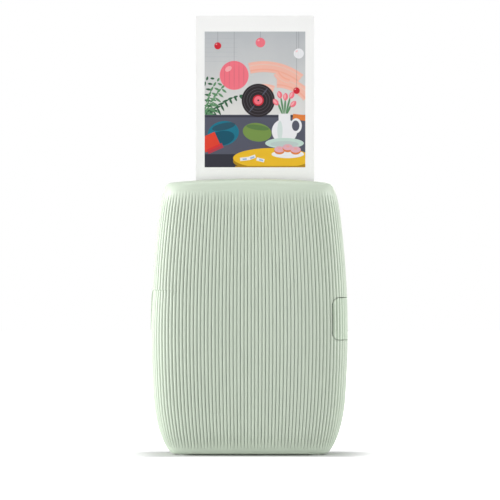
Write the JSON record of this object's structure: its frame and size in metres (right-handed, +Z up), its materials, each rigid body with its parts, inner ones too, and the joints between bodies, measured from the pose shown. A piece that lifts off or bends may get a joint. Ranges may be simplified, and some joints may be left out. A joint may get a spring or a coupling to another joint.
{
  "type": "compact photo printer",
  "caption": "Palm-size instant-film photo printer with a ribbed barrel casing, a hinged rear film door, and a print standing out of its top slot.",
  "frame": {"origin": "middle of the footprint, on the surface the printer stands on", "axes": "+X to the viewer's right, +Y towards the rear door, +Z up along the print"},
  "size_m": [0.0901, 0.0372, 0.2006],
  "materials": {
    "shell": "fine matt moulded casing plastic",
    "button": "fine matt moulded plastic",
    "frame": "fine matt moulded plastic",
    "feet": "soft translucent rubber",
    "trim": "dark matt plastic",
    "dark_plastic": "black moulded plastic",
    "gear": "natural white acetal",
    "steel": "ground steel",
    "spring": "spring wire",
    "brass": "turned brass",
    "rubber": "ground rubber",
    "foam": "foam pad with felt face",
    "film": "satin film sheet",
    "print": "satin instant print",
    "glass": "rod lens glass",
    "board": "green solder mask",
    "chip": "moulded chip",
    "cell": "foil pouch",
    "wire": "insulated wire"
  },
  "bodies": {
    "printer": {"front_shell": "shell", "rear_frame": "frame", "foot_pads": "feet", "exit_trim": "trim", "hinge_pins": "steel", "latch_spring": "spring", "chassis": "dark_plastic", "case_screws": "steel", "cassette_shell": "dark_plastic", "cassette_plate": "dark_plastic", "cassette_spring": "spring", "film_sheets": "film", "print_head": "dark_plastic", "lens_array": "glass", "head_board": "board", "roller_bushes": "gear", "gear_axles": "steel", "gearbox_plate": "dark_plastic", "gearbox_screws": "steel", "motor": "steel", "motor_clamp": "steel", "motor_leads": "wire", "claw_guide": "dark_plastic", "claw_spring": "spring", "main_board": "board", "board_screws": "steel", "board_chips": "chip", "shield_can": "steel", "power_switch": "chip", "reset_switch": "chip", "usb_socket": "steel", "usb_tongue": "chip", "battery": "cell", "battery_lead": "wire"},
    "door": {"film_door": "shell", "door_pads": "foam"},
    "latch": {"door_latch": "button"},
    "power": {"power_button": "button"},
    "reset": {"reset_button": "button"},
    "print": {"photo_print": "print"},
    "drive": {"drive_roller": "rubber", "drive_shaft": "steel", "drive_gear": "gear"},
    "pinch": {"pinch_roller": "rubber", "pinch_shaft": "steel", "pinch_gear": "gear"},
    "idler": {"idler_gear": "gear"},
    "reduction": {"reduction_gear": "gear"},
    "rotor": {"motor_shaft": "steel", "motor_pinion": "brass"},
    "claw": {"film_claw": "steel"}
  },
  "joints": [
    {"name": "door_hinge", "type": "hinge", "parent": "printer", "child": "door", "pos_m": [0.0392, 0.01605, 0], "axis": [0, 0, -1], "range_deg": [0, 90]},
    {"name": "latch_press", "type": "slide", "parent": "printer", "child": "latch", "axis": [1, 0, 0], "range_m": [0, 0.0015], "stiffness_N_per_m": 300, "springref_m": -0.003, "deforming": ["latch_spring"]},
    {"name": "power_press", "type": "slide", "parent": "printer", "child": "power", "axis": [0, 1, 0], "range_m": [0, 0.0008], "stiffness_N_per_m": 1200, "springref_m": -0.0008},
    {"name": "reset_press", "type": "slide", "parent": "printer", "child": "reset", "axis": [0, 0, 1], "range_m": [0, 0.0005], "stiffness_N_per_m": 800, "springref_m": -0.0005},
    {"name": "print_feed", "type": "slide", "parent": "printer", "child": "print", "axis": [0, 0, 1], "range_m": [-0.1, 0.002]},
    {"name": "drive_turn", "type": "hinge", "parent": "printer", "child": "drive", "pos_m": [0, -0.00685, 0.1165], "axis": [1, 0, 0], "range_deg": [-1434, 30]},
    {"name": "pinch_turn", "type": "hinge", "parent": "printer", "child": "pinch", "pos_m": [0, 0.00165, 0.1165], "axis": [1, 0, 0], "range_deg": [-30, 1434]},
    {"name": "idler_turn", "type": "hinge", "parent": "printer", "child": "idler", "pos_m": [0, -0.00685, 0.1072], "axis": [1, 0, 0], "range_deg": [-26, 1219]},
    {"name": "reduction_turn", "type": "hinge", "parent": "printer", "child": "reduction", "pos_m": [0, -0.00343, 0.10047], "axis": [1, 0, 0], "range_deg": [-2437, 50]},
    {"name": "motor_turn", "type": "hinge", "parent": "printer", "child": "rotor", "pos_m": [0, -0.01, 0.095], "axis": [1, 0, 0], "range_deg": [-118, 5846]},
    {"name": "claw_slide", "type": "slide", "parent": "printer", "child": "claw", "axis": [0, 0, 1], "range_m": [0, 0.016], "stiffness_N_per_m": 20, "springref_m": -0.004, "deforming": ["claw_spring"]}
  ],
  "couplings": [
    {"joint": "drive_turn", "follows": "print_feed", "rad_per_m": 250},
    {"joint": "pinch_turn", "follows": "print_feed", "rad_per_m": -250},
    {"joint": "idler_turn", "follows": "print_feed", "rad_per_m": -212.5},
    {"joint": "reduction_turn", "follows": "print_feed", "rad_per_m": 425},
    {"joint": "motor_turn", "follows": "print_feed", "rad_per_m": -1020}
  ]
}
